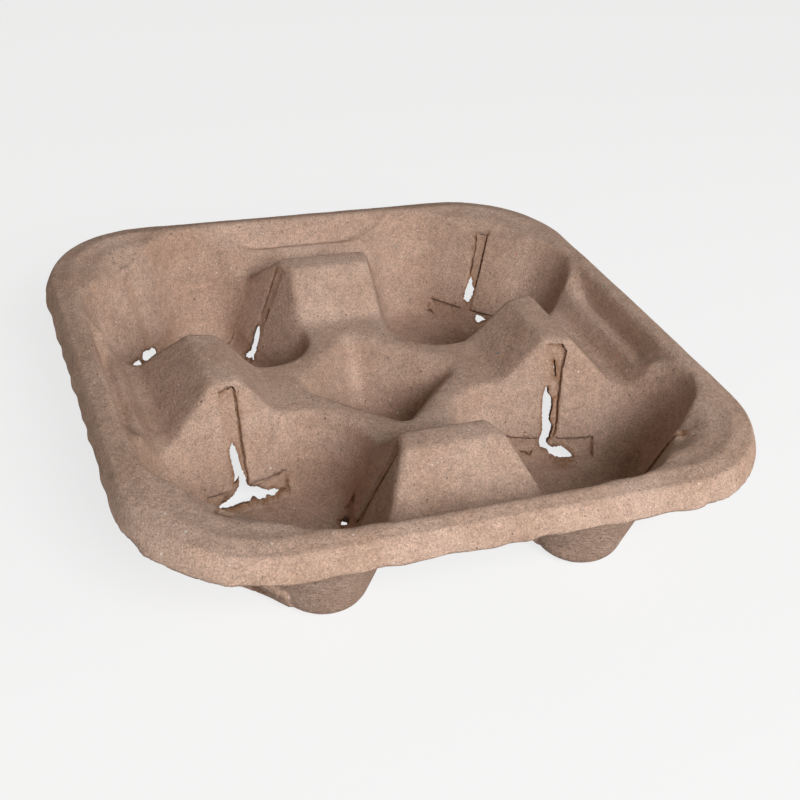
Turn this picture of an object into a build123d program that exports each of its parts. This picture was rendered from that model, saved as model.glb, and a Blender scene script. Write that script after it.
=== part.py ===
from build123d import *
import math
import os

# Moulded pulp cup carrier: one shell of even thickness with four cup pockets.
# Origin on the table under the middle of the carrier, +X right, +Y back, +Z up.
# Millimetres and degrees.

# overall
side_length = 215.0
total_height = 45.5
corner_radius = 44.0
wall = 2.2

# rim with its rolled lip
lip_round = 8.6
lip_drop = 10.3
ledge_inset = lip_round
ledge_run = 15.6
ledge_fall = 5.0

# cup pockets: a rounded triangle whose three flats carry the slits
pocket_spacing = 103.0
floor_lobe_reach = 24.0
floor_lobe_radius = 11.0
floor_flat_reach = 21.3
top_lobe_reach = 20.5
top_lobe_radius = 25.8
top_flat_reach = 35.8
pocket_top_level = 43.5
floor_round = 5.0
pocket_clearance = 1.0
mouth_round = 2.5
mouth_strip = 22.5
mouth_reach = 74.0
mouth_slack = 0.5
pocket_reach = 48.0

# posts between the pockets, and the deck round the centre well
post_top = 44.5
post_inner = 57.0
post_outer = 66.5
post_block_width = 60.0
post_round = 3.0
post_trim = 0.03
post_trim_half = 75.0
deck_level = 28.5
deck_half = 42.0
dish_round = 6.0
dish_corner_radius = 18.0

# centre well, a square turned by an eighth of a turn
well_floor = 6.0
well_floor_half = 13.0
well_top_half = 21.5
well_corner_radius = 4.0
well_mouth_round = 5.0
well_edge_reach = 34.0

# grooves beside each post: a deep one, a rib, then a narrow one under the rim
groove_level = 28.5
groove_inner = 82.5
groove_outer = 86.5
groove_length = 64.0
rib_reach = 92.0
rib_level = 37.5
rib_round = 1.5
rib_slack = 0.2
narrow_level = 34.0
narrow_inner = 94.4
narrow_outer = 95.8
narrow_rim_edge = 98.2
narrow_floor_length = 40.0
narrow_top_length = 84.0

# slits in the pocket walls, each an upside-down T
slit_width = 3.0
slit_bottom = 5.0
slit_top = 24.5
score_width = 0.8
score_top = 39.5
foot_slit_length = 24.0
foot_slit_height = 3.6
foot_slit_level = 3.2
slit_reach = 9.0

level_slack = 0.001
above = 20.0
below = 6.0
eighth_turn = 45.0
third_turn = 120.0

half_side = side_length / 2
pocket_offset = pocket_spacing / 2
pocket_corners = [(1, 1), (-1, 1), (-1, -1), (1, -1)]


def polar(radius, angle):
    """Point at this distance and angle from the pocket's middle."""
    return Vector(radius * math.cos(math.radians(angle)), radius * math.sin(math.radians(angle)))


def rounded_square(half, radius):
    """Square with rounded corners, centred on the origin."""
    return RectangleRounded(2 * half, 2 * half, radius)


def pocket_section(level, lobe_reach, lobe_radius, flat_reach, grow):
    """Rounded triangle with slightly hollow sides, grown outwards all round."""
    slack = lobe_radius - flat_reach
    hollow_reach = (lobe_reach**2 - slack**2) / (lobe_reach + 2 * slack)
    hollow_radius = hollow_reach - flat_reach - grow
    edges = []
    for slit_angle in (eighth_turn, eighth_turn + third_turn, eighth_turn + 2 * third_turn):
        hollow = polar(hollow_reach, slit_angle)
        before = polar(lobe_reach, slit_angle - third_turn / 2)
        after = polar(lobe_reach, slit_angle + third_turn / 2)
        last = polar(lobe_reach, slit_angle + 1.5 * third_turn)
        far_hollow = polar(hollow_reach, slit_angle + third_turn)
        reach = lobe_radius + grow
        start = before + (hollow - before).normalized() * reach
        middle = polar(hollow_reach - hollow_radius, slit_angle)
        end = after + (hollow - after).normalized() * reach
        crown = polar(lobe_reach + reach, slit_angle + third_turn / 2)
        finish = after + (far_hollow - after).normalized() * reach
        edges.append(ThreePointArc(start, middle, end))
        edges.append(ThreePointArc(end, crown, finish))
    return Pos(0, 0, level) * make_face(edges)


def pocket_cut(inset):
    """The space of one cup pocket, or of its outside when inset by the wall."""
    rise = pocket_top_level - wall
    floor = pocket_section(wall - inset, floor_lobe_reach, floor_lobe_radius, floor_flat_reach, inset)
    stretch = (total_height + pocket_clearance - wall) / rise
    lobe_reach = floor_lobe_reach + (top_lobe_reach - floor_lobe_reach) * stretch
    lobe_radius = floor_lobe_radius + (top_lobe_radius - floor_lobe_radius) * stretch
    flat_reach = floor_flat_reach + (top_flat_reach - floor_flat_reach) * stretch
    top = pocket_section(total_height + pocket_clearance - inset, lobe_reach, lobe_radius, flat_reach, inset)
    return loft([floor.face(), top.face()], ruled=True)


def pocket_cut_rounded(inset):
    """Pocket space with its floor edge rounded."""
    space = pocket_cut(inset)
    floor_edges = space.faces().sort_by(Axis.Z)[0].edges()
    return fillet(floor_edges, floor_round + inset)


def at_pocket(shape, corner):
    """Copy of a shape made for the back right pocket, mirrored to another corner."""
    placed = Pos(pocket_offset, pocket_offset, 0) * shape
    if corner[0] < 0:
        placed = mirror(placed, Plane.YZ)
    if corner[1] < 0:
        placed = mirror(placed, Plane.XZ)
    return placed


def tapered_square(low_half, low_level, high_half, high_level, low_radius, high_radius):
    """Straight sided frustum between two level rounded squares."""
    low = Pos(0, 0, low_level) * rounded_square(low_half, low_radius)
    high = Pos(0, 0, high_level) * rounded_square(high_half, high_radius)
    return loft([low.face(), high.face()], ruled=True)


def rim_cut(inset):
    """Space above the ledge inside the rim and above the tops of the posts."""
    crest_half = half_side - ledge_inset
    inner_half = crest_half - ledge_run
    crest_radius = corner_radius - ledge_inset
    inner_radius = crest_radius - ledge_run
    level = total_height - ledge_fall - inset
    slope = tapered_square(inner_half, level, crest_half, total_height - inset, inner_radius, crest_radius)
    over = extrude(Pos(0, 0, total_height - inset) * rounded_square(crest_half, crest_radius), above)
    posts = Box(2 * inner_half, post_block_width, post_top - inset - level)
    posts += Box(post_block_width, 2 * inner_half, post_top - inset - level)
    posts = Pos(0, 0, (post_top - inset + level) / 2) * posts
    return slope + over - posts


def dish_cut(inset):
    """Space over the deck, with slopes up to the posts."""
    run = post_inner - deck_half
    rise = post_top - deck_level
    lean = inset * math.hypot(run, rise) / rise - inset * run / rise
    stretch = (post_top + above - deck_level) / rise
    low_half = deck_half + lean
    high_half = low_half + run * stretch
    low_level = deck_level - inset
    high_level = post_top + above - inset
    radius = dish_corner_radius + inset
    space = tapered_square(low_half, low_level, high_half, high_level, radius, radius)
    floor_edges = space.faces().sort_by(Axis.Z)[0].edges()
    return fillet(floor_edges, dish_round + inset)


def well_cut(inset):
    """Centre well, turned so that its corners point at the posts."""
    run = well_top_half - well_floor_half
    rise = deck_level - well_floor
    lean = inset * math.hypot(run, rise) / rise - inset * run / rise
    stretch = (deck_level + above - well_floor) / rise
    low_half = well_floor_half + lean
    high_half = low_half + run * stretch
    high_level = deck_level + above - inset
    radius = well_corner_radius + inset
    space = tapered_square(low_half, well_floor - inset, high_half, high_level, radius, radius)
    return Rot(0, 0, eighth_turn) * space


def trough(inset, sides, ends):
    """Straight trough along X; sides and ends each hold four (reach, level) corners."""
    section = Plane.YZ * make_face(Polyline(*sides, close=True))
    end_section = Plane.XZ * make_face(Polyline(*ends, close=True))
    if inset > 0:
        section = offset(section, amount=inset, kind=Kind.INTERSECTION)
        end_section = offset(end_section, amount=inset, kind=Kind.INTERSECTION)
    along = extrude(section, amount=side_length, both=True)
    across = extrude(end_section, amount=side_length, both=True)
    return along & across


def groove_cut(inset):
    """Deep groove between a post and the rib; its ends open into the pockets."""
    high = total_height + above
    post_lean = (groove_inner - post_outer) / (post_top - groove_level)
    rib_lean = (rib_reach - groove_outer) / (rib_level - groove_level)
    sides = [
        (groove_inner - post_lean * (high - groove_level), high),
        (groove_inner, groove_level),
        (groove_outer, groove_level),
        (groove_outer + rib_lean * (high - groove_level), high),
    ]
    half = groove_length / 2
    ends = [(-half, groove_level), (half, groove_level), (half, high), (-half, high)]
    return trough(inset, sides, ends)


def narrow_groove_cut(inset):
    """Narrow groove between the rib and the rim, closed at both ends."""
    high = total_height + above
    rise = high - narrow_level
    rib_lean = (narrow_inner - rib_reach) / (rib_level - narrow_level)
    rim_lean = (narrow_rim_edge - narrow_outer) / (total_height - narrow_level)
    sides = [
        (narrow_inner - rib_lean * rise, high),
        (narrow_inner, narrow_level),
        (narrow_outer, narrow_level),
        (narrow_outer + rim_lean * rise, high),
    ]
    half = narrow_floor_length / 2
    end_lean = (narrow_top_length - narrow_floor_length) / 2 / (total_height - narrow_level)
    high_half = half + end_lean * rise
    ends = [(-half, narrow_level), (half, narrow_level), (high_half, high), (-high_half, high)]
    return trough(inset, sides, ends)


def level_edges(block, level, reach):
    """Edges of a block that lie all at one level, within this reach of the middle."""
    found = []
    for edge in block.edges():
        spots = [edge @ 0, edge @ 0.5, edge @ 1]
        flat = all(abs(spot.Z - level) < level_slack for spot in spots)
        if flat and max(math.hypot(spot.X, spot.Y) for spot in spots) < reach:
            found.append(edge)
    return found


def mouth_edges(block):
    """Edges of the pocket mouths along the deck and the posts."""
    found = []
    for edge in block.edges().filter_by(GeomType.BSPLINE):
        spot = edge @ 0.5
        near = min(abs(spot.X), abs(spot.Y))
        far = max(abs(spot.X), abs(spot.Y))
        from_pocket = math.hypot(near - pocket_offset, far - pocket_offset)
        beside = near < mouth_strip and far < mouth_reach and from_pocket < pocket_reach
        if spot.Z > deck_level - mouth_slack and beside and not edge.is_interior:
            found.append(edge)
    return found


def rib_edges(block):
    """Crest edge of each of the four ribs."""
    found = []
    for edge in block.edges():
        spot = edge @ 0.5
        across = max(abs(spot.X), abs(spot.Y))
        if abs(across - rib_reach) < rib_slack and abs(spot.Z - rib_level) < rib_slack:
            found.append(edge)
    return found


def level_posts(block):
    """Trims the post tops level once their edges are rounded."""
    over = Box(2 * post_trim_half, 2 * post_trim_half, above)
    return block - Pos(0, 0, post_top - post_trim + above / 2) * over


def press_form(inset):
    """Everything under the carrier's top face, or under its lower face when inset."""
    outline = rounded_square(half_side - inset, corner_radius - inset)
    block = extrude(Pos(0, 0, -below) * outline, total_height - inset + below)
    top_edges = block.faces().sort_by(Axis.Z)[-1].edges()
    block = fillet(top_edges, lip_round - inset)
    if inset > 0:
        under_lip = Box(2 * side_length, 2 * side_length, total_height - lip_drop + below)
        block += Pos(0, 0, (total_height - lip_drop - below) / 2) * under_lip
    block -= rim_cut(inset)
    block -= dish_cut(inset)
    block -= well_cut(inset)
    block = fillet(level_edges(block, deck_level - inset, well_edge_reach), well_mouth_round - inset)
    for turn in range(4):
        block -= Rot(0, 0, 90 * turn) * groove_cut(inset)
        block -= Rot(0, 0, 90 * turn) * narrow_groove_cut(inset)
    pocket = pocket_cut_rounded(inset)
    for corner in pocket_corners:
        block -= at_pocket(pocket, corner)
    block = fillet(level_edges(block, post_top - inset, half_side), post_round - inset)
    if inset == 0:
        block = fillet(mouth_edges(block), mouth_round)
        block = fillet(rib_edges(block), rib_round)
        block = level_posts(block)
    return block


def slit_cut(slit_angle):
    """Torn slit and its foot in one flat of the back right pocket."""
    draft = (top_flat_reach - floor_flat_reach) / (pocket_top_level - wall)
    tilt = math.degrees(math.atan(draft))
    middle = (slit_top + slit_bottom) / 2
    upright = Box(2 * slit_reach, slit_width, slit_top - slit_bottom)
    score = Box(2 * slit_reach, score_width, score_top - slit_top)
    foot = Box(2 * slit_reach, foot_slit_length, foot_slit_height)
    cuts = []
    for piece, level in (
        (upright, middle),
        (score, (score_top + slit_top) / 2),
        (foot, foot_slit_level + foot_slit_height / 2),
    ):
        reach = floor_flat_reach + draft * (level - wall)
        cuts.append(Rot(0, 0, slit_angle) * Pos(reach, 0, level) * piece)
    return Compound(children=cuts)


def slits():
    """All twelve slits."""
    cuts = []
    for corner in pocket_corners:
        for turn in range(3):
            cuts += at_pocket(slit_cut(eighth_turn + turn * third_turn), corner).solids()
    return cuts


def build_tray():
    """The whole carrier."""
    table_up = Pos(0, 0, total_height / 2) * Box(2 * side_length, 2 * side_length, total_height)
    tray = (press_form(0) & table_up) - press_form(wall)
    return tray - slits()


tray = build_tray()
os.makedirs("parts", exist_ok=True)
export_step(tray, "parts/tray.step")
print(tray.is_valid, round(tray.volume), len(tray.solids()), tray.bounding_box())
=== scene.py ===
"""Moulded pulp cup carrier: the pulp shell with its torn slits, on a pale floor."""

import logging
import math
import random
from dataclasses import dataclass, field
from enum import Enum

import bpy
import numpy as np
from mathutils import Matrix, Vector


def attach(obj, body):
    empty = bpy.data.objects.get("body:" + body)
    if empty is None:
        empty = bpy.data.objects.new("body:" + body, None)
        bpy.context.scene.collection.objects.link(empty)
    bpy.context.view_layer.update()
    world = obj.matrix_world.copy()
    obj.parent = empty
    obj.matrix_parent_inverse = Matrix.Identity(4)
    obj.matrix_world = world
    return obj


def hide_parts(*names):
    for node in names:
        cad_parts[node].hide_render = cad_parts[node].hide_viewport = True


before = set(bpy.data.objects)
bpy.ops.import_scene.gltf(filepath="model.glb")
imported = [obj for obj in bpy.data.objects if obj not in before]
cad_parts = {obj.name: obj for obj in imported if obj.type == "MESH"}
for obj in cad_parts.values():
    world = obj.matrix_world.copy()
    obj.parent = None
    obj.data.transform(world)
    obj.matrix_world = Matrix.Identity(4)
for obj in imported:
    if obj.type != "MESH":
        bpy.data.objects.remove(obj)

log = logging.getLogger("carrier")
MM = 0.001
SHORTEST_RUN = 0.01
Outline = list[tuple[float, float]]
Colour = tuple[float, float, float, float]
Waves = tuple[tuple[float, float, float], ...]


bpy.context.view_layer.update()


class Wall(Enum):
    """The three slit walls of a pocket, by their angle in the back right one."""

    CORNER = 45.0
    POST_X = 165.0
    POST_Y = 285.0


class Workbench:
    """Small steps on Blender objects that every piece shares."""

    @staticmethod
    def pick(*objects: bpy.types.Object) -> None:
        """Selects only these objects and makes the first one active."""
        if bpy.context.mode != "OBJECT":
            bpy.ops.object.mode_set(mode="OBJECT")
        bpy.ops.object.select_all(action="DESELECT")
        for item in objects:
            item.select_set(True)
        bpy.context.view_layer.objects.active = objects[0]

    @staticmethod
    def apply(item: bpy.types.Object, kind: str, **settings: object) -> None:
        """Adds a modifier and applies it.

        Args:
            item: The object to change.
            kind: The modifier's type.
            settings: Values for the modifier's own settings.
        """
        Workbench.pick(item)
        modifier = item.modifiers.new(kind.title(), kind)
        for name, value in settings.items():
            setattr(modifier, name, value)
        bpy.ops.object.modifier_apply(modifier=modifier.name)

    @staticmethod
    def join(items: list[bpy.types.Object]) -> bpy.types.Object:
        """Joins objects into the first one.

        Args:
            items: The objects to join.

        Returns:
            The joined object.
        """
        Workbench.pick(*items)
        if len(items) > 1:
            bpy.ops.object.join()
        return bpy.context.view_layer.objects.active

    @staticmethod
    def points(item: bpy.types.Object) -> np.ndarray:
        """Reads the places of an object's vertices.

        Args:
            item: A mesh object.

        Returns:
            One row of x, y and z in metres for each vertex.
        """
        flat = np.empty(len(item.data.vertices) * 3, dtype=np.float32)
        item.data.vertices.foreach_get("co", flat)
        return flat.reshape(-1, 3).astype(np.float64)

    @staticmethod
    def normals(item: bpy.types.Object) -> np.ndarray:
        """Reads the directions in which an object's vertices face.

        Args:
            item: A mesh object.

        Returns:
            One unit vector for each vertex.
        """
        flat = np.empty(len(item.data.vertices) * 3, dtype=np.float32)
        item.data.vertices.foreach_get("normal", flat)
        return flat.reshape(-1, 3).astype(np.float64)

    @staticmethod
    def place(item: bpy.types.Object, points: np.ndarray) -> None:
        """Moves an object's vertices to new places.

        Args:
            item: A mesh object.
            points: One row of x, y and z in metres for each vertex.
        """
        item.data.vertices.foreach_set("co", points.astype(np.float32).ravel())
        item.data.update()

    @staticmethod
    def mask(item: bpy.types.Object, name: str, values: np.ndarray) -> None:
        """Stores one number for each vertex, for a material to read.

        Args:
            item: A mesh object.
            name: The attribute's name.
            values: One number for each vertex.
        """
        layer = item.data.attributes.new(name, "FLOAT", "POINT")
        layer.data.foreach_set("value", values.astype(np.float32))


def smooth_step(value: np.ndarray, low: float, high: float) -> np.ndarray:
    """Rises smoothly from 0 at low to 1 at high.

    Args:
        value: Numbers to grade.
        low: Where the rise starts.
        high: Where it ends.

    Returns:
        One number from 0 to 1 for each value.
    """
    share = np.clip((value - low) / (high - low), 0.0, 1.0)
    return share * share * (3.0 - 2.0 * share)


def waves(turn: np.ndarray, parts: Waves) -> np.ndarray:
    """Adds up waves that run round the carrier.

    Args:
        turn: Angles round the middle.
        parts: For each wave its count in a full turn, its phase and its height.

    Returns:
        The height at each angle.
    """
    return sum(np.sin(count * turn + phase) * height for count, phase, height in parts)


@dataclass(frozen=True)
class Ridge:
    """A rounded ridge that follows the rim. Sizes in millimetres."""

    height: float
    inset: float
    width: float

    def rise(self, inset: np.ndarray) -> np.ndarray:
        """Works out the ridge's height.

        Args:
            inset: Distances in from the rim's outside.

        Returns:
            The height at each distance.
        """
        return self.height * np.exp(-(((inset - self.inset) / self.width) ** 2))


@dataclass(frozen=True)
class Lumps:
    """Uneven lumps over the whole surface. Size and height in millimetres."""

    name: str
    size: float
    height: float
    detail: int = 2


@dataclass
class SlitWall:
    """The stretch of pocket wall that one slit is torn in. Sizes in millimetres."""

    side_x: int
    side_y: int
    wall: Wall
    pocket: float = 51.5
    foot_reach: float = 21.3
    foot_level: float = 2.2
    draft: float = 0.3511
    floor_round: float = 5.0
    hollow: float = 117.0

    @property
    def outward(self) -> Vector:
        """Level direction from the pocket's middle to the wall."""
        angle = math.radians(self.wall.value)
        return Vector((self.side_x * math.cos(angle), self.side_y * math.sin(angle), 0.0))

    @property
    def along(self) -> Vector:
        """Level direction along the wall, to the right as seen from the pocket."""
        out = self.outward
        return Vector((out.y, -out.x, 0.0))

    @property
    def middle(self) -> Vector:
        """The pocket's middle on the table."""
        return Vector((self.side_x * self.pocket, self.side_y * self.pocket, 0.0))

    def reach(self, level: float) -> float:
        """Distance from the pocket's middle to the inside of the wall.

        Args:
            level: Height over the table.

        Returns:
            The distance, with the rounding at the floor left out.
        """
        return self.foot_reach + self.draft * (level - self.foot_level)

    def rounded_reach(self, level: float) -> float:
        """Distance to the inside of the wall, rounding at the floor included.

        Args:
            level: Height over the table.

        Returns:
            The distance from the pocket's middle.
        """
        lean = math.atan(self.draft)
        centre_level = self.foot_level + self.floor_round
        centre = self.reach(centre_level) - self.floor_round / math.cos(lean)
        if level >= centre_level - self.floor_round * math.sin(lean):
            return self.reach(level)
        return centre + math.sqrt(max(self.floor_round**2 - (centre_level - level) ** 2, 0.0))

    def spot(self, across: float, level: float, depth: float) -> Vector:
        """Finds a place at the wall.

        Args:
            across: Distance to the right of the wall's middle.
            level: Height over the table.
            depth: Level distance outwards from the inside of the wall.

        Returns:
            The place in metres.
        """
        reach = self.reach(level) + depth
        place = self.middle + self.outward * reach + self.along * across
        return Vector((place.x, place.y, level)) * MM

    def local(self, points: np.ndarray) -> tuple[np.ndarray, np.ndarray, np.ndarray]:
        """Turns places into the wall's own measures.

        Args:
            points: Places in metres.

        Returns:
            Across, level and depth in millimetres.
        """
        flat = points / MM - np.array(self.middle)
        across = flat @ np.array(self.along)
        level = flat[:, 2]
        hollow = across**2 / (2.0 * self.hollow)
        depth = flat @ np.array(self.outward) - self.reach(0.0) - self.draft * level - hollow
        return across, level, depth


@dataclass
class Slit:
    """One slit: where it is, what is torn open, and which creases surround it."""

    place: SlitWall
    tears: list[Outline] = field(default_factory=list)
    creases: list[Outline] = field(default_factory=list)
    floor_tears: list[Outline] = field(default_factory=list)
    lean: float = 0.0
    crease_width: float = 0.75
    strip: tuple[float, float] = (-3.6, 2.4)
    strip_top: float = 42.0
    strip_depth: float = 0.9
    foot: tuple[float, float] = (-17.5, 17.5)
    foot_levels: tuple[float, float] = (2.6, 9.6)


@dataclass
class TearMaker:
    """Makes the ragged tools that tear a wall open or crease it."""

    seed: int = 7
    step: float = 0.5
    raggedness: float = 0.2
    corner_share: float = 0.4
    tear_inside: float = 4.0
    tear_outside: float = 7.0
    tear_fall: float = 0.42
    crease_inside: float = 2.5
    crease_depth: float = 1.25
    crease_tip: float = 0.25
    crease_taper: float = 5.0
    crease_waver: tuple[float, float] = (0.6, 1.25)
    floor_start: float = 11.0
    floor_end: float = -2.0

    def __post_init__(self) -> None:
        """Starts the fixed sequence of random numbers."""
        self.dice = random.Random(self.seed)

    def ragged(self, outline: Outline, closed: bool) -> Outline:
        """Breaks straight runs of an outline into small uneven steps.

        Args:
            outline: Corners as across and level.
            closed: Whether the last corner runs back to the first.

        Returns:
            The uneven outline.
        """
        found: Outline = []
        count = len(outline) if closed else len(outline) - 1
        for index in range(count):
            start = outline[index]
            end = outline[(index + 1) % len(outline)]
            run = math.dist(start, end)
            parts = max(1, round(run / self.step))
            for part in range(parts):
                share = part / parts
                reach = self.raggedness * (1.0 if part else self.corner_share)
                shift = self.dice.uniform(-1.0, 1.0) * reach
                length = max(run, SHORTEST_RUN)
                side = ((start[1] - end[1]) / length, (end[0] - start[0]) / length)
                found.append(
                    (
                        start[0] + (end[0] - start[0]) * share + side[0] * shift,
                        start[1] + (end[1] - start[1]) * share + side[1] * shift,
                    )
                )
        if not closed:
            found.append(outline[-1])
        return found

    @staticmethod
    def prism(corners: list[Vector], run: Vector) -> bpy.types.Object:
        """Makes a solid from one flat outline.

        Args:
            corners: The outline's corners, in metres.
            run: How far and which way the outline is drawn out.

        Returns:
            The solid.
        """
        bpy.ops.object.select_all(action="DESELECT")
        bpy.ops.mesh.primitive_circle_add(vertices=len(corners), radius=MM, fill_type="NGON")
        made = bpy.context.object
        for vertex, corner in zip(made.data.vertices, corners):
            vertex.co = corner
        bpy.ops.object.mode_set(mode="EDIT")
        bpy.ops.mesh.select_all(action="SELECT")
        bpy.ops.mesh.extrude_region_move(TRANSFORM_OT_translate={"value": tuple(run)})
        bpy.ops.mesh.select_all(action="SELECT")
        bpy.ops.mesh.quads_convert_to_tris()
        bpy.ops.mesh.normals_make_consistent(inside=False)
        bpy.ops.object.mode_set(mode="OBJECT")
        return made

    def tool(
        self,
        place: SlitWall,
        outline: Outline,
        inside: float,
        outside: float,
        fall: float = 0.0,
        lean: float = 0.0,
    ) -> bpy.types.Object:
        """Makes a solid whose section is an outline on a wall.

        Args:
            place: The wall that it cuts.
            outline: Corners as across and level.
            inside: How far it starts before the wall.
            outside: How far it runs past the wall's inside.
            fall: How far it drops for each step outwards.
            lean: Angle in plan between the cut and the wall's outward direction.

        Returns:
            The solid.
        """
        slant = math.radians(lean)
        heading = place.outward * math.cos(slant) - place.along * math.sin(slant) - Vector((0.0, 0.0, fall))
        corners = [place.spot(across, level, 0.0) - heading * inside * MM for across, level in outline]
        return self.prism(corners, heading * (inside + outside) * MM)

    def floor_tear(self, slit: Slit, outline: Outline) -> bpy.types.Object:
        """Tool that tears straight down through the floor at a wall's foot.

        Args:
            slit: The slit whose foot it tears.
            outline: Corners as across and distance from the pocket's middle.

        Returns:
            The tool.
        """
        place = slit.place
        high = Vector((0.0, 0.0, self.floor_start))
        corners = [
            (place.middle + place.outward * reach + place.along * across + high) * MM
            for across, reach in self.ragged(outline, True)
        ]
        return self.prism(corners, Vector((0.0, 0.0, self.floor_end - self.floor_start)) * MM)

    def tear(self, slit: Slit, outline: Outline) -> bpy.types.Object:
        """Tool that tears right through a slit's wall.

        Args:
            slit: The slit whose wall it cuts.
            outline: Corners as across and level.

        Returns:
            The tool.
        """
        ragged = self.ragged(outline, True)
        return self.tool(slit.place, ragged, self.tear_inside, self.tear_outside, self.tear_fall, slit.lean)

    def crease(self, slit: Slit, path: Outline) -> bpy.types.Object:
        """Tool that scores a crease along a path on the inside of a wall.

        Args:
            slit: The slit whose wall it cuts.
            path: Points as across and level.

        Returns:
            The tool.
        """
        line = self.ragged(path, False)
        left: Outline = []
        right: Outline = []
        for index, (across, level) in enumerate(line):
            before = line[max(index - 1, 0)]
            after = line[min(index + 1, len(line) - 1)]
            run = max(math.dist(before, after), SHORTEST_RUN)
            side = ((before[1] - after[1]) / run, (after[0] - before[0]) / run)
            share = index / (len(line) - 1)
            from_end = min(1.0, self.crease_taper * share, self.crease_taper * (1.0 - share))
            taper = self.crease_tip + (1.0 - self.crease_tip) * from_end
            half = slit.crease_width / 2 * taper * self.dice.uniform(*self.crease_waver)
            left.append((across + side[0] * half, level + side[1] * half))
            right.append((across - side[0] * half, level - side[1] * half))
        return self.tool(slit.place, left + right[::-1], self.crease_inside, self.crease_depth)


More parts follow.
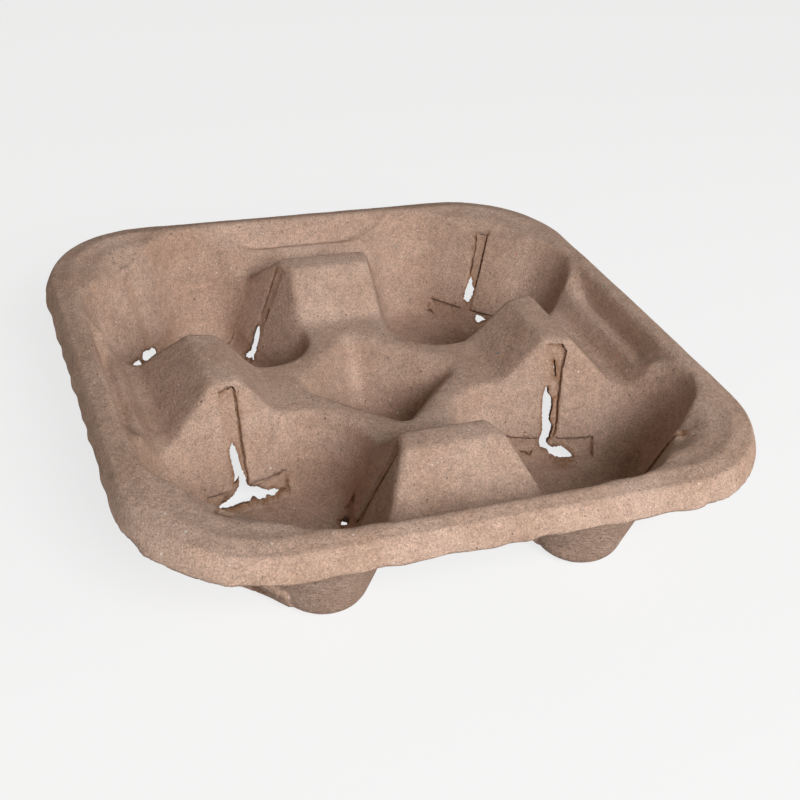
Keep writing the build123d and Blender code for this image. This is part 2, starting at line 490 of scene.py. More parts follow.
@dataclass
class SlitPlan:
    """Chooses what is torn and creased at each of the twelve slits."""

    def seen(self) -> list[Slit]:
        """Slits that open towards the front left.

        Returns:
            Seven slits with their own tears.
        """
        return [
            Slit(
                SlitWall(-1, -1, Wall.POST_Y),
                tears=[
                    [(-1.1, 24.6), (-2.5, 22.6), (-2.6, 18), (-2.3, 13.4), (-2.7, 11.2), (-1.5, 11.9),
                     (-0.6, 12.8),
                     (-1.2, 10), (-3.2, 7.8), (-6.5, 6.3), (-10.8, 5.3), (-9.8, 4.1), (-5, 3.6),
                     (-1.5, 3.9),
                     (1.4, 3.5), (3.4, 4.4), (5.2, 3.2), (7.4, 2.9), (8.4, 3.7), (11.2, 2.8), (13.8, 3.8),
                     (12, 5.1), (9.6, 4.9), (7, 6.4), (5.2, 7.8), (3.2, 8.2), (2.0, 9.2), (1.5, 12.5),
                     (0.6, 16), (0.2, 20), (-0.3, 22.6)],
                ],
                creases=[
                    [(2.3, 9.6), (2.1, 18), (2.2, 25), (2.4, 33), (2.5, 41), (1.8, 42.5),
                     (-0.5, 42.2), (-3.0, 41.2)],
                    [(13.6, 4.0), (17.2, 3.0), (18.0, 7.8)],
                ],
                lean=-28.0,
                strip=(-3.8, 2.3),
                strip_top=42.2,
                foot=(-13.5, 17.5),
            ),
            Slit(
                SlitWall(1, -1, Wall.POST_Y),
                tears=[
                    [(-2.0, 27.6), (-2.9, 23.5), (-2.7, 17), (-2.2, 12.2), (-2.9, 9.8), (-2.9, 7.2),
                     (-1.9, 5.6),
                     (0.3, 5.2), (1.2, 3.6), (3.2, 2.8), (7.1, 2.7), (10.2, 3.0), (8.0, 4.9), (5.4, 6.7),
                     (3.4, 6.2), (1.6, 6.3), (0.2, 7.4), (0.2, 8.6), (1.2, 9.4), (1.2, 11.1), (1.7, 13.9),
                     (0.4, 16.1), (1, 20), (0.9, 23.5), (-0.7, 25.4), (-0.9, 27.0)],
                    [(0.1, 37.4), (0.8, 36.6), (1.2, 33.6), (1.6, 31.2), (1.0, 31), (0.5, 34)],
                ],
                creases=[
                    [(2.1, 9.6), (2.8, 12.8), (2.8, 23.5), (3.2, 32.4), (4.2, 40.6), (2.6, 42.6),
                     (-1.2, 42.4)],
                    [(17.5, 3.4), (17.1, 9.4), (15.4, 9.8)],
                    [(-9.6, 4.4), (-6.4, 3.6), (-5.4, 4.8)],
                ],
                strip=(-3.4, 3.4),
                strip_top=42.6,
            ),
            Slit(
                SlitWall(1, 1, Wall.CORNER),
                tears=[
                    [(-2.3, 22.8), (-2.8, 19.4), (-3.2, 15.6), (-3.1, 13), (-1.6, 12.3), (-0.5, 12.4),
                     (0.4, 16),
                     (0.3, 18.2), (-0.8, 19.6), (-1.3, 21.5)],
                    [(3.8, 8), (4.6, 8.4), (8.6, 7.4), (7, 6.2), (5.5, 5.1), (4.2, 6)],
                ],
                creases=[
                    [(-3.9, 40), (-3.4, 32), (-2.8, 23.6)],
                    [(0.9, 41), (1.0, 34), (1.0, 25), (0.7, 19)],
                    [(-18, 7.6), (-17.6, 4.4), (-15, 3.8)],
                ],
                lean=18.0,
                crease_width=1.0,
                strip=(-3.6, 1.0),
                strip_top=40.5,
            ),
            Slit(
                SlitWall(-1, 1, Wall.CORNER),
                tears=[
                    [(-5.1, 10.1), (-3.2, 9.8), (-1.2, 8.8), (0.9, 9), (3, 7.4), (2.7, 5.4), (-0.6, 5.6),
                     (-3.2, 5.2), (-5.3, 6), (-6.4, 7.6)],
                    [(-8.4, 8.4), (-11.5, 8.4), (-15.6, 7.2), (-15.0, 4.8), (-11, 4.2), (-7.6, 5.6)],
                ],
                lean=-48.0,
                strip=(-3.2, 1.4),
                strip_top=39.0,
                strip_depth=0.3,
            ),
            Slit(
                SlitWall(-1, 1, Wall.POST_X),
                tears=[
                    [(-4.2, 17.4), (-5.2, 16.2), (-5.3, 13), (-5, 9), (-4.7, 6.3), (-6.5, 4.2),
                     (-5.8, 3.2),
                     (-3.6, 3.6), (-2.4, 4.6), (-0.9, 3.6), (0.3, 4.8), (-0.6, 6.6), (-0.3, 9.1),
                     (-1.1, 12.9),
                     (-2.1, 15.8), (-3, 17.4)],
                ],
                creases=[
                    [(-5.2, 41), (-4.9, 31), (-4.6, 22.6)],
                    [(-1.0, 25.4), (-1.6, 20.4)],
                    [(-18.4, 3.0), (-18.6, 9.8)],
                ],
                lean=42.0,
                crease_width=1.0,
                strip=(-5.4, -0.6),
                strip_top=42.0,
                strip_depth=0.3,
            ),
            Slit(
                SlitWall(-1, -1, Wall.POST_X),
                tears=[
                    [(2.2, 17.4), (1.0, 16.6), (0.7, 14.2), (1.4, 12.6), (2.4, 14.8)],
                ],
                floor_tears=[
                    [(-6.4, 20.6), (-5.0, 22.4), (-3.6, 22.0), (-1.6, 23.0), (0.6, 22.4), (2.6, 23.2),
                     (4.8, 22.4),
                     (4.2, 20.4), (2.2, 19.6), (0.4, 20.4), (-1.4, 19.5), (-3.6, 19.9), (-5.0, 19.4)],
                    [(-14.0, 21.4), (-12.2, 22.8), (-9.6, 22.6), (-7.9, 21.6), (-9.4, 20.0),
                     (-12.0, 19.9)],
                ],
                creases=[
                    [(1.4, 42.2), (0.5, 32.7), (-0.2, 27), (-0.6, 22.4)],
                    [(-0.4, 21), (-0.9, 15.5), (-1.6, 10.5), (-3.0, 9)],
                    [(-17.6, 3.4), (-17.8, 9.4), (-12, 10)],
                ],
                lean=52.0,
                crease_width=1.5,
                strip=(-3.2, 2.6),
            ),
            Slit(
                SlitWall(1, -1, Wall.CORNER),
                tears=[[(-4.2, 6.2), (-2.6, 7.4), (0.4, 6.6), (1.8, 5.2), (-1.0, 4.6), (-3.0, 5.0)]],
                creases=[
                    [(-3.0, 41.0), (0.6, 41.6), (0.9, 34), (0.5, 24), (0.2, 14), (-0.4, 9)],
                    [(17.6, 3.4), (17.2, 9.2), (9, 9.4)],
                ],
                strip=(-3.4, 0.8),
                strip_depth=-0.8,
            ),
        ]

    def unseen(self) -> list[Slit]:
        """Slits that face the back or the right, torn in a like way.

        Returns:
            Five slits.
        """
        long_tear: Outline = [
            (-1.4, 23.5), (-2.4, 21), (-2.3, 16), (-1.9, 11.4), (-3.4, 8.2), (-7.4, 6.8), (-8.6, 5.2),
            (-4, 3.8),
            (1, 3.6), (5.2, 3.2), (9.4, 4.4), (7, 6.4), (2.6, 7.6), (1.8, 11), (1.3, 16), (0.6, 20.6),
        ]
        short_tear: Outline = [
            (-0.8, 19.6), (-1.7, 17), (-1.4, 12.8), (-0.4, 11.4), (0.8, 13.4), (0.9, 17), (0.1, 19.2),
        ]
        foot_tear: Outline = [
            (-6.4, 6.8), (-2.2, 7.6), (3.4, 6.9), (8.4, 5.2), (5.2, 3.6), (-1.8, 4.2), (-5.2, 4.4),
        ]
        mark: Outline = [(2.2, 24), (2.3, 33), (2.4, 41), (1.0, 42.2), (-2.8, 41.6)]
        end: Outline = [(17.6, 3.4), (17.4, 9.2), (10, 9.8)]
        plans = [
            (SlitWall(-1, -1, Wall.CORNER), [long_tear]),
            (SlitWall(-1, 1, Wall.POST_Y), [short_tear, foot_tear]),
            (SlitWall(1, 1, Wall.POST_X), [long_tear]),
            (SlitWall(1, 1, Wall.POST_Y), [short_tear, foot_tear]),
            (SlitWall(1, -1, Wall.POST_X), [long_tear]),
        ]
        return [Slit(place, tears=tears, creases=[mark, end]) for place, tears in plans]

    def all(self) -> list[Slit]:
        """All twelve slits."""
        return self.seen() + self.unseen()


@dataclass
class SlitPatch:
    """Pulp that bridges a plain slot, for the ragged tear to be cut in."""

    upright_half: float = 2.6
    upright_low: float = 3.4
    upright_high: float = 41.2
    foot_half: float = 13.4
    foot_low: float = 2.7
    foot_high: float = 8.2
    wall: float = 2.2
    cell: float = 0.9

    def panel(self, place: SlitWall, half: float, low: float, high: float) -> bpy.types.Object:
        """Makes one curved panel in the wall.

        Args:
            place: The wall it fills.
            half: Half of its width.
            low: Its lower edge's height.
            high: Its upper edge's height.

        Returns:
            The panel, as thick as the wall.
        """
        bpy.ops.object.select_all(action="DESELECT")
        columns = max(3, round(2 * half / self.cell))
        rows = max(4, round((high - low) / self.cell))
        bpy.ops.mesh.primitive_grid_add(x_subdivisions=columns, y_subdivisions=rows, size=2.0)
        made = bpy.context.object
        for vertex in made.data.vertices:
            across = vertex.co.x * half
            level = low + (vertex.co.y + 1.0) / 2 * (high - low)
            bulge = across**2 / (2.0 * place.hollow)
            depth = place.rounded_reach(level) - place.reach(level) + bulge
            vertex.co = place.spot(across, level, depth)
        made.data.update()
        facing = made.data.polygons[0].normal.dot(place.outward)
        Workbench.apply(made, "SOLIDIFY", thickness=self.wall * MM, offset=1.0 if facing > 0 else -1.0)
        return made

    def fill(self, place: SlitWall) -> list[bpy.types.Object]:
        """Makes the panels for one slit.

        Args:
            place: The wall they fill.

        Returns:
            An upright panel and one at the foot.
        """
        return [
            self.panel(place, self.upright_half, self.upright_low, self.upright_high),
            self.panel(place, self.foot_half, self.foot_low, self.foot_high),
        ]


@dataclass
class PulpShell:
    """The whole moulded shell. Sizes in millimetres."""

    node: str = "tray"
    cell: float = 0.8
    quick_cell: float = 1.3
    triangles: int = 194000
    softening: int = 10
    groove_softening: int = 24
    groove_band: tuple[float, float] = (79.0, 100.0)
    groove_half: float = 50.0
    groove_bottom: float = 25.0
    groove_fade: float = 2.0
    foot_gap: float = 0.05
    half_side: float = 107.5
    corner: float = 44.0
    smooth_angle: float = 50.0
    merge_gap: float = 0.002
    bead: Ridge = Ridge(0.9, 2.4, 1.3)
    valley: Ridge = Ridge(0.4, 6.6, 2.0)
    valley_share: float = 0.45
    swell: Ridge = Ridge(1.4, 18.0, 4.5)
    corner_run: tuple[float, float] = (42.0, 66.0)
    ledge_levels: tuple[float, float] = (33.0, 38.0)
    rim_run: tuple[float, float] = (96.0, 104.0)
    rim_levels: tuple[float, float] = (30.0, 34.5)
    warp_level: float = 45.0
    sway: Waves = ((2, 0.6, 0.5), (3, 2.1, 0.3), (5, 1.0, 0.15))
    twist: Waves = ((2, 1.9, 1.0),)
    waver: Waves = ((17, 0.4, 0.4), (29, 1.7, 0.35), (53, 2.9, 0.3))
    ragged: Waves = ((41, 0.8, 0.4), (67, 2.0, 0.35), (23, 0.0, 0.25))
    sway_share: float = 0.6
    twist_share: float = 0.35
    flare_least: float = 0.3
    flare_share: float = 0.5
    lumps: tuple[Lumps, ...] = (Lumps("lumps", 14.0, 0.4), Lumps("flock", 2.4, 0.1))
    slit_half: float = 22.0
    slit_depth: float = 7.0
    slit_high: float = 46.0
    slit_low: float = 1.5
    foot_press: float = 1.25
    torn_width: float = 0.9
    crease_fade: float = 1.5
    floor_fade: tuple[float, float] = (7.0, 10.0)
    far: float = 9.0
    lip_level: float = 35.2
    lip_run: float = 5.0
    lip_waver: float = 0.55
    warp: float = 0.9
    edge: float = 0.35

    def copy_node(self) -> bpy.types.Object:
        """Copies the frame's shell and merges its loose triangles.

        Returns:
            The copy.
        """
        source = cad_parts[self.node]
        Workbench.pick(source)
        bpy.ops.object.duplicate()
        made = bpy.context.object
        made.parent = None
        made.name = "pulp_shell"
        for key in [key for key in made.keys() if key.startswith("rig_")]:
            del made[key]
        bpy.ops.object.mode_set(mode="EDIT")
        bpy.ops.mesh.select_all(action="SELECT")
        bpy.ops.mesh.remove_doubles(threshold=self.merge_gap * MM)
        bpy.ops.object.mode_set(mode="OBJECT")
        return made

    def tear_open(self, shell: bpy.types.Object, slits: list[Slit]) -> None:
        """Cuts the ragged tears and scores the creases.

        Args:
            shell: The shell with its slots bridged.
            slits: All slits.
        """
        maker = TearMaker()
        groups: dict[str, list[bpy.types.Object]] = {}
        for slit in slits:
            for index, outline in enumerate(slit.tears):
                groups.setdefault(f"tear{index}", []).append(maker.tear(slit, outline))
            for index, path in enumerate(slit.creases):
                groups.setdefault(f"crease{index}", []).append(maker.crease(slit, path))
            for index, outline in enumerate(slit.floor_tears):
                groups.setdefault(f"floor{index}", []).append(maker.floor_tear(slit, outline))
        for tools in groups.values():
            tool = Workbench.join(tools)
            Workbench.apply(shell, "BOOLEAN", operation="DIFFERENCE", solver="MANIFOLD", object=tool)
            bpy.data.objects.remove(tool)

    def press_strips(self, shell: bpy.types.Object, slits: list[Slit]) -> None:
        """Presses the shallow T shaped strip round each slit out of the wall.

        Args:
            shell: The torn shell.
            slits: All slits.
        """
        points = Workbench.points(shell)
        for slit in slits:
            across, level, depth = slit.place.local(points)
            near = (np.abs(across) < self.slit_half) & (np.abs(depth) < self.slit_depth)
            near &= (level < self.slit_high) & (level > self.slit_low)
            a, z = across[near], level[near]
            low, high = slit.strip
            upright = smooth_step(a, low - self.edge, low + self.edge)
            upright *= 1.0 - smooth_step(a, high - self.edge, high + self.edge)
            upright *= 1.0 - smooth_step(z, slit.strip_top - self.edge, slit.strip_top + self.edge)
            foot = smooth_step(a, slit.foot[0] - self.edge, slit.foot[0] + self.edge)
            foot *= 1.0 - smooth_step(a, slit.foot[1] - self.edge, slit.foot[1] + self.edge)
            foot *= smooth_step(z, slit.foot_levels[0] - 1.0, slit.foot_levels[0] + 1.0)
            foot *= 1.0 - smooth_step(z, slit.foot_levels[1] - self.edge, slit.foot_levels[1] + self.edge)
            press = np.maximum(upright, foot * self.foot_press) * slit.strip_depth * MM
            points[near] += press[:, None] * np.array(slit.place.outward)[None, :]
        Workbench.place(shell, points)

    def soften_grooves(self, shell: bpy.types.Object) -> None:
        """Rounds off the grooves beside the posts and their ends.

        Args:
            shell: The remeshed shell.
        """
        points = Workbench.points(shell)
        x, y, z = (points / MM).T
        out, along = np.maximum(np.abs(x), np.abs(y)), np.minimum(np.abs(x), np.abs(y))
        low, high = self.groove_band
        fade = self.groove_fade
        share = smooth_step(out, low - fade, low + fade)
        share *= 1.0 - smooth_step(out, high - fade, high + fade)
        share *= 1.0 - smooth_step(along, self.groove_half - 2 * fade, self.groove_half + 2 * fade)
        share *= smooth_step(z, self.groove_bottom - fade, self.groove_bottom + fade)
        ends = np.empty(len(shell.data.edges) * 2, dtype=np.int64)
        shell.data.edges.foreach_get("vertices", ends)
        start, end = ends.reshape(-1, 2).T
        keep = (share[start] > 0.0) | (share[end] > 0.0)
        start, end = start[keep], end[keep]
        count = len(points)
        links = np.maximum(np.bincount(start, minlength=count) + np.bincount(end, minlength=count), 1)
        for _ in range(self.groove_softening):
            for axis in range(3):
                value = points[:, axis]
                total = np.bincount(start, value[end], count) + np.bincount(end, value[start], count)
                points[:, axis] = value + 0.5 * share * (total / links - value)
        Workbench.place(shell, points)

    def warp_shape(self, shell: bpy.types.Object) -> None:
        """Makes the shell a little uneven, most at the cut edge of the lip.

        Args:
            shell: The shell.
        """
        points = Workbench.points(shell)
        x, y, z = (points / MM).T
        turn = np.arctan2(y, x)
        rise = np.clip(z / self.warp_level, 0.0, 1.0) ** 2
        out = np.maximum(np.abs(x), np.abs(y))
        rim = smooth_step(out, *self.rim_run) * smooth_step(z, *self.rim_levels)
        lip = rim * (1.0 - smooth_step(z, self.lip_level, self.lip_level + self.lip_run))
        core = self.half_side - self.corner
        over = np.hypot(np.maximum(np.abs(x) - core, 0.0), np.maximum(np.abs(y) - core, 0.0))
        inset = self.corner - over
        corner = smooth_step(np.minimum(np.abs(x), np.abs(y)), *self.corner_run)
        profile = self.bead.rise(inset)
        profile -= self.valley.rise(inset) * (self.valley_share + (1.0 - self.valley_share) * corner)
        profile += self.swell.rise(inset) * corner
        points[:, 2] += profile * smooth_step(z, *self.ledge_levels) * MM
        flare = lip * (self.flare_least + self.flare_share * waves(turn, self.ragged)) * MM
        points[:, 0] += flare * np.sign(x) * (np.abs(x) > core)
        points[:, 1] += flare * np.sign(y) * (np.abs(y) > core)
        sideways = waves(turn, self.sway) * rise * self.warp * self.sway_share
        points[:, 0] += sideways * np.cos(turn) * MM
        points[:, 1] += sideways * np.sin(turn) * MM
        points[:, 2] += waves(turn, self.twist) * rise * self.twist_share * self.warp * MM
        points[:, 2] += lip * waves(turn, self.waver) * self.lip_waver * MM
        points[:, 2] = np.maximum(points[:, 2], self.foot_gap * MM)
        Workbench.place(shell, points)

    def roughen(self, shell: bpy.types.Object) -> None:
        """Adds the soft lumps and the coarse grain of moulded pulp.

        Args:
            shell: The shell.
        """
        for lumps in self.lumps:
            texture = bpy.data.textures.new(lumps.name, "CLOUDS")
            texture.noise_scale = lumps.size * MM
            texture.noise_depth = lumps.detail
            texture.noise_basis = "ORIGINAL_PERLIN"
            Workbench.apply(
                shell,
                "DISPLACE",
                texture=texture,
                strength=lumps.height * MM,
                mid_level=0.5,
                texture_coords="LOCAL",
                direction="NORMAL",
            )

    @staticmethod
    def edge_gap(first: np.ndarray, second: np.ndarray, outline: Outline, closed: bool) -> np.ndarray:
        """Measures how far places are from an outline.

        Args:
            first: The places' first measures.
            second: Their second measures.
            outline: The outline's corners in the same measures.
            closed: Whether the last corner runs back to the first.

        Returns:
            The distance of each place.
        """
        best = np.full(len(first), 9.0)
        for start, end in zip(outline, outline[1:] + outline[:1] if closed else outline[1:]):
            run = np.array(end) - np.array(start)
            share = ((first - start[0]) * run[0] + (second - start[1]) * run[1]) / max(run @ run, 1e-6)
            share = np.clip(share, 0.0, 1.0)
            gap = np.hypot(first - start[0] - share * run[0], second - start[1] - share * run[1])
            best = np.minimum(best, gap)
        return best

    def paint_masks(self, shell: bpy.types.Object, slits: list[Slit]) -> None:
        """Stores where the pulp is torn and where it faces down.

        Args:
            shell: The finished shell.
            slits: All slits.
        """
        points = Workbench.points(shell)
        torn = np.zeros(len(points))
        pressed = np.zeros(len(points))
        for slit in slits:
            across, level, depth = slit.place.local(points)
            near = (np.abs(across) < self.slit_half) & (np.abs(depth) < self.slit_depth)
            near &= level < self.slit_high
            a, z = across[near], level[near]
            best = np.full(len(a), self.far)
            for outline in slit.tears:
                best = np.minimum(best, self.edge_gap(a, z, outline, True))
            for path in slit.creases:
                best = np.minimum(best, self.edge_gap(a, z, path, False) * self.crease_fade)
            reach = ((points / MM - np.array(slit.place.middle)) @ np.array(slit.place.outward))[near]
            for outline in slit.floor_tears:
                over_floor = smooth_step(z, *self.floor_fade) * self.far
                best = np.minimum(best, self.edge_gap(a, reach, outline, True) + over_floor)
            # The torn mask runs along tear edges and crease lines; the material paints shade along it.
            torn[near] = np.maximum(torn[near], np.exp(-((best / self.torn_width) ** 2)))
            upright = (a > slit.strip[0]) & (a < slit.strip[1]) & (z < slit.strip_top)
            foot = (a > slit.foot[0]) & (a < slit.foot[1])
            foot &= (z > slit.foot_levels[0]) & (z < slit.foot_levels[1])
            pressed[near] = np.maximum(pressed[near], np.maximum(upright, foot))
        Workbench.mask(shell, "torn", torn)
        Workbench.mask(shell, "pressed", pressed)
        Workbench.mask(shell, "under", np.clip(-Workbench.normals(shell)[:, 2], 0.0, 1.0))

    def build(self) -> bpy.types.Object:
        """Builds the shell.

        Returns:
            The finished shell, without its material.
        """
        slits = SlitPlan().all()
        shell = self.copy_node()
        patch = SlitPatch()
        pieces = [shell]
        for slit in slits:
            pieces += patch.fill(slit.place)
        shell = Workbench.join(pieces)
        log.info("bridged: %d vertices", len(shell.data.vertices))
        cell = self.cell
        Workbench.apply(shell, "REMESH", mode="VOXEL", voxel_size=cell * MM)
        log.info("remeshed: %d vertices", len(shell.data.vertices))
        Workbench.apply(shell, "SMOOTH", factor=0.5, iterations=self.softening)
        self.soften_grooves(shell)
        self.tear_open(shell, slits)
        log.info("torn: %d vertices", len(shell.data.vertices))
        self.press_strips(shell, slits)
        self.roughen(shell)
        self.warp_shape(shell)
        Workbench.apply(shell, "TRIANGULATE")
        share = min(1.0, self.triangles / len(shell.data.polygons))
        Workbench.apply(shell, "DECIMATE", ratio=share)
        self.paint_masks(shell, slits)
        Workbench.pick(shell)
        bpy.ops.object.shade_smooth_by_angle(angle=math.radians(self.smooth_angle))
        shell.name = shell.data.name = "pulp_shell"
        log.info("shell: %d triangles", len(shell.data.polygons))
        return shell


class Nodes:
    """Adds and links shader nodes in one tree."""

    def __init__(self, tree: bpy.types.NodeTree) -> None:
        """Keeps the tree."""
        self.tree = tree

    def add(self, kind: str, inputs: dict | None = None, **settings: object) -> bpy.types.Node:
        """Adds a node.

        Args:
            kind: The node's type.
            inputs: A value or a socket to link for each input, by name or number.
            settings: The node's own settings.

        Returns:
            The node.
        """
        node = self.tree.nodes.new(kind)
        for name, value in settings.items():
            setattr(node, name, value)
        for name, value in (inputs or {}).items():
            if isinstance(value, bpy.types.NodeSocket):
                self.tree.links.new(value, node.inputs[name])
            else:
                node.inputs[name].default_value = value
        return node

    def blend(
        self, share: object, first: object, second: object, mode: str = "MIX"
    ) -> bpy.types.NodeSocket:
        """Blends two colours.

        Args:
            share: How much of the second, as a number or socket.
            first: A colour or socket.
            second: A colour or socket.
            mode: How they blend.

        Returns:
            The blended colour.
        """
        inputs = {0: share, 6: first, 7: second}
        return self.add("ShaderNodeMix", inputs, data_type="RGBA", blend_type=mode).outputs[2]

    def grade(
        self, value: bpy.types.NodeSocket, low: float, high: float, start: float = 0.0, end: float = 1.0
    ) -> bpy.types.NodeSocket:
        """Maps a range of values to another, clamped.

        Args:
            value: The socket to read.
            low: Value that gives start.
            high: Value that gives end.
            start: Lowest result.
            end: Highest result.

        Returns:
            The graded value.
        """
        node = self.add("ShaderNodeMapRange", {0: value, 1: low, 2: high, 3: start, 4: end})
        return node.outputs[0]

    def math(self, operation: str, first: object, second: object) -> bpy.types.NodeSocket:
        """Works out one sum on two values or sockets."""
        return self.add("ShaderNodeMath", {0: first, 1: second}, operation=operation).outputs[0]

    def noise(
        self, place: bpy.types.NodeSocket, scale: float, detail: float = 3.0, rough: float = 0.5
    ) -> bpy.types.NodeSocket:
        """Adds a noise texture.

        Args:
            place: Where each point is.
            scale: Lumps for each metre.
            detail: Layers of finer lumps.
            rough: How strong the finer layers are.

        Returns:
            The noise's value.
        """
        inputs = {"Vector": place, "Scale": scale, "Detail": detail, "Roughness": rough}
        return self.add("ShaderNodeTexNoise", inputs).outputs["Fac"]

    def grey(self, value: bpy.types.NodeSocket) -> bpy.types.NodeSocket:
        """Turns a value into a grey colour."""
        return self.add("ShaderNodeCombineColor", {channel: value for channel in range(3)}).outputs[0]


class PulpGroups:
    """Shader groups for what all pulp surfaces share."""

    @staticmethod
    def new_group(name: str, inputs: dict[str, float], outputs: dict[str, str]) -> tuple:
        """Starts a group.

        Args:
            name: The group's name.
            inputs: Number inputs with their first values.
            outputs: Outputs with their socket types.

        Returns:
            The group, its nodes, its input node and its output node.
        """
        tree = bpy.data.node_groups.new(name, "ShaderNodeTree")
        tree.interface.new_socket("Place", in_out="INPUT", socket_type="NodeSocketVector")
        for label, value in inputs.items():
            socket = tree.interface.new_socket(label, in_out="INPUT", socket_type="NodeSocketFloat")
            socket.default_value = value
        for label, kind in outputs.items():
            tree.interface.new_socket(label, in_out="OUTPUT", socket_type=kind)
        nodes = Nodes(tree)
        return tree, nodes, nodes.add("NodeGroupInput"), nodes.add("NodeGroupOutput")

    @staticmethod
    def grain() -> bpy.types.NodeTree:
        """Short fibres and flock as a height and a tone.

        Returns:
            The group.
        """
        tree, nodes, given, result = PulpGroups.new_group(
            "Pulp grain", {"Coarse": 1.0}, {"Height": "NodeSocketFloat", "Tone": "NodeSocketFloat"}
        )
        place = given.outputs["Place"]
        fine = nodes.noise(place, 1500.0, 3.0, 0.6)
        flock = nodes.noise(place, 520.0, 3.0, 0.55)
        lumps = nodes.noise(place, 170.0, 2.0, 0.5)
        fibres = []
        for turn, tilt in ((0.4, 0.3), (2.3, 1.1)):
            way = {"Vector": place, "Rotation": (turn, tilt, turn * 1.7), "Scale": (2600.0, 420.0, 2600.0)}
            bent = nodes.add("ShaderNodeMapping", way).outputs[0]
            cell = nodes.add(
                "ShaderNodeTexNoise", {"Vector": bent, "Scale": 1.0, "Detail": 2.0, "Distortion": 0.6}
            )
            fibres.append(nodes.grade(cell.outputs["Fac"], 0.55, 0.75))
        fibre = nodes.math("MAXIMUM", fibres[0], fibres[1])
        coarse = nodes.math("MULTIPLY", flock, given.outputs["Coarse"])
        height = nodes.math("ADD", nodes.math("MULTIPLY", fine, 0.45), nodes.math("MULTIPLY", coarse, 0.9))
        height = nodes.math("ADD", height, nodes.math("MULTIPLY", fibre, 0.35))
        height = nodes.math("ADD", height, nodes.math("MULTIPLY", lumps, 0.6))
        dust = nodes.noise(place, 3200.0, 2.0, 0.6)
        tone = nodes.math("ADD", nodes.math("MULTIPLY", fine, 0.42), nodes.math("MULTIPLY", dust, 0.42))
        tone = nodes.math("ADD", tone, nodes.math("MULTIPLY", flock, 0.16))
        nodes.tree.links.new(height, result.inputs["Height"])
        nodes.tree.links.new(tone, result.inputs["Tone"])
        return tree

    @staticmethod
    def flecks() -> bpy.types.NodeTree:
        """Sparse dots in random cells.

        Returns:
            The group.
        """
        tree, nodes, given, result = PulpGroups.new_group(
            "Pulp flecks",
            {"Scale": 400.0, "Rarity": 0.9, "Size": 0.3},
            {"Mask": "NodeSocketFloat", "Cell": "NodeSocketColor"},
        )
        place = given.outputs["Place"]
        wobble = nodes.add("ShaderNodeTexNoise", {"Vector": place, "Scale": 900.0, "Detail": 1.0})
        sway = {0: wobble.outputs["Color"], 3: 0.0012}
        shift = nodes.add("ShaderNodeVectorMath", sway, operation="SCALE")
        moved = nodes.add("ShaderNodeVectorMath", {0: place, 1: shift.outputs[0]}, operation="ADD")
        spread = {"Vector": moved.outputs[0], "Scale": given.outputs["Scale"]}
        cells = nodes.add("ShaderNodeTexVoronoi", spread)
        parts = nodes.add("ShaderNodeSeparateColor", {0: cells.outputs["Color"]})
        rare = nodes.math("GREATER_THAN", parts.outputs[0], given.outputs["Rarity"])
        near = nodes.math("LESS_THAN", cells.outputs["Distance"], given.outputs["Size"])
        mask = nodes.math("MULTIPLY", rare, near)
        nodes.tree.links.new(mask, result.inputs["Mask"])
        nodes.tree.links.new(cells.outputs["Color"], result.inputs["Cell"])
        return tree


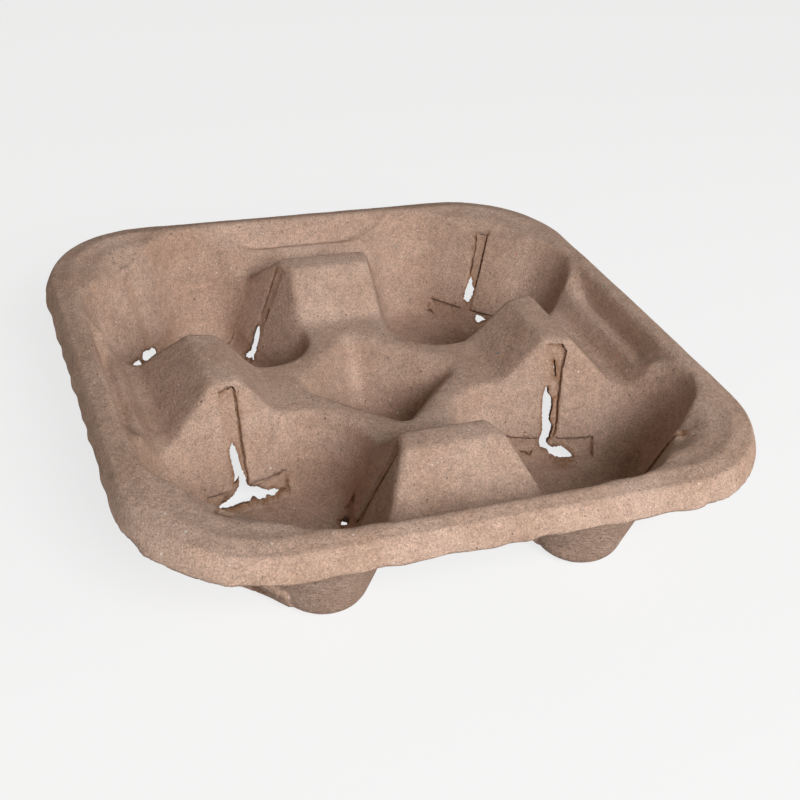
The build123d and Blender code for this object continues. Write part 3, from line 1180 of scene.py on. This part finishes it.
@dataclass(frozen=True)
class PulpFinish:
    """Matte moulded fibre. Colours are linear."""

    pale: Colour = (0.60, 0.425, 0.335, 1.0)
    tan: Colour = (0.50, 0.335, 0.25, 1.0)
    # Painted shade: dark orange-brown laid along tear edges and crease lines.
    torn: Colour = (0.27, 0.125, 0.055, 1.0)
    # Darker, browner tint laid over the pressed strips round the slits.
    strip_brown: Colour = (0.36, 0.20, 0.115, 1.0)
    dark_fleck: Colour = (0.10, 0.06, 0.045, 1.0)
    white_fleck: Colour = (0.86, 0.80, 0.76, 1.0)
    green_bit: Colour = (0.05, 0.26, 0.25, 1.0)
    orange_bit: Colour = (0.62, 0.20, 0.07, 1.0)
    fleck_share: float = 0.75
    bit_share: float = 0.8
    press_share: float = 0.22
    roughness: float = 0.93
    sheen_level: float = 0.25
    bump: float = 0.95
    bump_height: float = 0.00035

    @staticmethod
    def scatter(
        nodes: Nodes,
        group: bpy.types.NodeTree,
        place: bpy.types.NodeSocket,
        scale: float,
        rarity: float,
        size: float,
    ) -> bpy.types.Node:
        """Scatters flecks with the shared group.

        Args:
            nodes: The material's nodes.
            group: The flecks' group.
            place: Where each point is.
            scale: Cells for each metre.
            rarity: Share of the cells that stay empty.
            size: A fleck's radius as a share of its cell.

        Returns:
            The group node.
        """
        dots = nodes.add("ShaderNodeGroup", {}, node_tree=group)
        nodes.tree.links.new(place, dots.inputs["Place"])
        dots.inputs["Scale"].default_value = scale
        dots.inputs["Rarity"].default_value = rarity
        dots.inputs["Size"].default_value = size
        return dots

    def material(self) -> bpy.types.Material:
        """Makes the material.

        Returns:
            The material.
        """
        made = bpy.data.materials.new("moulded_pulp")
        made.use_nodes = True
        nodes = Nodes(made.node_tree)
        shader = made.node_tree.nodes["Principled BSDF"]
        place = nodes.add("ShaderNodeTexCoord").outputs["Object"]
        torn = nodes.add("ShaderNodeAttribute", attribute_name="torn").outputs["Fac"]
        under = nodes.add("ShaderNodeAttribute", attribute_name="under").outputs["Fac"]
        grain = nodes.add("ShaderNodeGroup", {}, node_tree=PulpGroups.grain())
        nodes.tree.links.new(place, grain.inputs["Place"])
        nodes.tree.links.new(nodes.grade(under, 0.1, 0.9, 1.0, 1.9), grain.inputs["Coarse"])
        mottle = nodes.noise(place, 38.0, 3.0, 0.55)
        patch = nodes.noise(place, 210.0, 3.0, 0.6)
        colour = nodes.blend(nodes.grade(mottle, 0.35, 0.65), self.tan, self.pale)
        patch_tone = nodes.grey(nodes.grade(patch, 0.3, 0.7, 0.90, 1.08))
        colour = nodes.blend(1.0, colour, patch_tone, "MULTIPLY")
        grain_tone = nodes.grey(nodes.grade(grain.outputs["Tone"], 0.36, 0.64, 0.55, 1.43))
        colour = nodes.blend(1.0, colour, grain_tone, "MULTIPLY")
        flecks = PulpGroups.flecks()
        for scale, rarity, size, fleck in (
            (620.0, 0.93, 0.20, self.dark_fleck),
            (560.0, 0.95, 0.18, self.white_fleck),
        ):
            dots = self.scatter(nodes, flecks, place, scale, rarity, size)
            cover = nodes.math("MULTIPLY", dots.outputs["Mask"], self.fleck_share)
            colour = nodes.blend(cover, colour, fleck)
        bits = self.scatter(nodes, flecks, place, 300.0, 0.985, 0.14)
        parts = nodes.add("ShaderNodeSeparateColor", {0: bits.outputs["Cell"]})
        either = nodes.math("GREATER_THAN", parts.outputs[1], 0.5)
        dyed = nodes.blend(either, self.green_bit, self.orange_bit)
        colour = nodes.blend(nodes.math("MULTIPLY", bits.outputs["Mask"], self.bit_share), colour, dyed)
        # Darker, browner tint over the pressed strips round the slits.
        pressed = nodes.add("ShaderNodeAttribute", attribute_name="pressed").outputs["Fac"]
        colour = nodes.blend(nodes.math("MULTIPLY", pressed, self.press_share), colour, self.strip_brown)
        # Painted shade along tears and creases, broken up by noise.
        tear_shade_noise = nodes.grade(nodes.noise(place, 700.0, 3.0), 0.3, 0.6, 0.35, 1.0)
        ragged = nodes.math("MULTIPLY", torn, tear_shade_noise)
        colour = nodes.blend(nodes.grade(ragged, 0.15, 0.95, 0.0, 0.9), colour, self.torn)
        nodes.tree.links.new(colour, shader.inputs["Base Color"])
        shader.inputs["Roughness"].default_value = self.roughness
        shader.inputs["Specular IOR Level"].default_value = self.sheen_level
        bent = nodes.add("ShaderNodeMapping", {"Vector": place, "Scale": (560.0, 560.0, 1300.0)})
        swirl = {"Vector": bent.outputs[0], "Scale": 1.0, "Detail": 4.0, "Distortion": 1.4}
        streaks = nodes.grade(nodes.add("ShaderNodeTexNoise", swirl).outputs["Fac"], 0.3, 0.7)
        rough = nodes.math("MULTIPLY", streaks, nodes.grade(under, 0.08, 0.4, 0.0, 5.0))
        height = nodes.math("ADD", grain.outputs["Height"], rough)
        relief = {"Strength": self.bump, "Distance": self.bump_height, "Height": height}
        bump = nodes.add("ShaderNodeBump", relief)
        nodes.tree.links.new(bump.outputs[0], shader.inputs["Normal"])
        return made


@dataclass
class Studio:
    """Floor, lamps and camera. Angles in degrees, distances in metres."""

    azimuth: float = -23.397
    elevation: float = 32.369
    roll: float = 5.217
    distance: float = 0.464
    focal: float = 57.37
    shift: tuple[float, float] = (0.0288, -0.0138)
    aim_level: float = 0.0225
    floor_size: float = 6.0
    floor_white: float = 0.9
    shadow_share: float = 0.24
    sky: float = 0.42
    zenith: float = 0.04
    dome_run: tuple[float, float] = (0.1, 0.8)
    sky_tint: Colour = (1.0, 0.9, 0.82, 1.0)
    front_place: tuple[float, float, float] = (0.12, -1.26, 0.88)
    front_power: float = 20.5
    right_place: tuple[float, float, float] = (1.3, -0.6, 0.5)
    right_power: float = 2.0
    lamp_size: float = 0.8

    def lay_floor(self) -> None:
        """Adds a pale floor that looks white and keeps a soft shadow."""
        bpy.ops.object.select_all(action="DESELECT")
        bpy.ops.mesh.primitive_plane_add(size=self.floor_size)
        floor = bpy.context.object
        floor.name = "floor"
        made = bpy.data.materials.new("floor_white")
        made.use_nodes = True
        nodes = Nodes(made.node_tree)
        shader = made.node_tree.nodes["Principled BSDF"]
        shader.inputs["Base Color"].default_value = (self.floor_white,) * 3 + (1.0,)
        shader.inputs["Roughness"].default_value = 1.0
        shader.inputs["Specular IOR Level"].default_value = 0.0
        seen = nodes.add("ShaderNodeLightPath").outputs["Is Camera Ray"]
        glow = nodes.add("ShaderNodeEmission", {"Color": (1.0, 1.0, 1.0, 1.0), "Strength": 1.0})
        share = nodes.math("MULTIPLY", seen, 1.0 - self.shadow_share)
        mixed = nodes.add("ShaderNodeMixShader", {0: share, 1: shader.outputs[0], 2: glow.outputs[0]})
        output = made.node_tree.nodes["Material Output"]
        nodes.tree.links.new(mixed.outputs[0], output.inputs["Surface"])
        floor.data.materials.append(made)

    def lamp(self, name: str, place: tuple[float, float, float], size: float, power: float) -> None:
        """Adds a square lamp that points at the carrier.

        Args:
            name: The lamp's name.
            place: Where it hangs.
            size: Its side.
            power: Its power in watts.
        """
        bpy.ops.object.light_add(type="AREA", location=place)
        lamp = bpy.context.object
        lamp.name = name
        lamp.data.size = size
        lamp.data.energy = power
        aim = Vector((0.0, 0.0, self.aim_level)) - Vector(place)
        lamp.rotation_euler = aim.to_track_quat("-Z", "Y").to_euler()

    def light(self) -> None:
        """Adds the lamps and a sky that is brightest low down."""
        self.lamp("front_lamp", self.front_place, self.lamp_size, self.front_power)
        self.lamp("right_lamp", self.right_place, self.lamp_size, self.right_power)
        world = bpy.data.worlds.new("sky")
        bpy.context.scene.world = world
        world.use_nodes = True
        nodes = Nodes(world.node_tree)
        seen = nodes.add("ShaderNodeLightPath").outputs["Is Camera Ray"]
        sky = world.node_tree.nodes["Background"]
        tint = nodes.blend(seen, self.sky_tint, (1.0, 1.0, 1.0, 1.0))
        nodes.tree.links.new(tint, sky.inputs["Color"])
        heading = nodes.add("ShaderNodeTexCoord").outputs["Generated"]
        rise = nodes.add("ShaderNodeSeparateXYZ", {0: heading}).outputs[2]
        dome = nodes.grade(rise, *self.dome_run, self.sky, self.zenith)
        strength = nodes.math("MAXIMUM", dome, seen)
        nodes.tree.links.new(strength, sky.inputs["Strength"])

    def aim_camera(self) -> None:
        """Adds the camera to the left front of the carrier."""
        turn, rise, roll = (math.radians(v) for v in (self.azimuth, self.elevation, self.roll))
        back = Vector((math.sin(turn) * math.cos(rise), -math.cos(turn) * math.cos(rise), math.sin(rise)))
        right = Vector((math.cos(turn), math.sin(turn), 0.0))
        up = back.cross(right)
        level = right * math.cos(roll) + up * math.sin(roll)
        upright = up * math.cos(roll) - right * math.sin(roll)
        bpy.ops.object.camera_add()
        camera = bpy.context.object
        matrix = Matrix((level, upright, back)).transposed().to_4x4()
        matrix.translation = Vector((0.0, 0.0, self.aim_level)) + back * self.distance
        camera.matrix_world = matrix
        camera.data.sensor_width = 36.0
        camera.data.lens = self.focal
        camera.data.shift_x, camera.data.shift_y = self.shift
        camera.data.clip_start = 0.01
        bpy.context.scene.camera = camera

    def build(self) -> None:
        """Sets up the studio."""
        self.lay_floor()
        self.light()
        self.aim_camera()
        bpy.context.scene.view_settings.view_transform = "Standard"


def main() -> None:
    """Builds the carrier and the studio."""
    logging.basicConfig(level=logging.INFO, format="%(name)s: %(message)s")
    shell = PulpShell().build()
    shell.data.materials.clear()
    shell.data.materials.append(PulpFinish().material())
    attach(shell, "root")
    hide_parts("tray")
    log.info("pulp_shell rides on root")
    Studio().build()


if __name__ == "__main__":
    main()
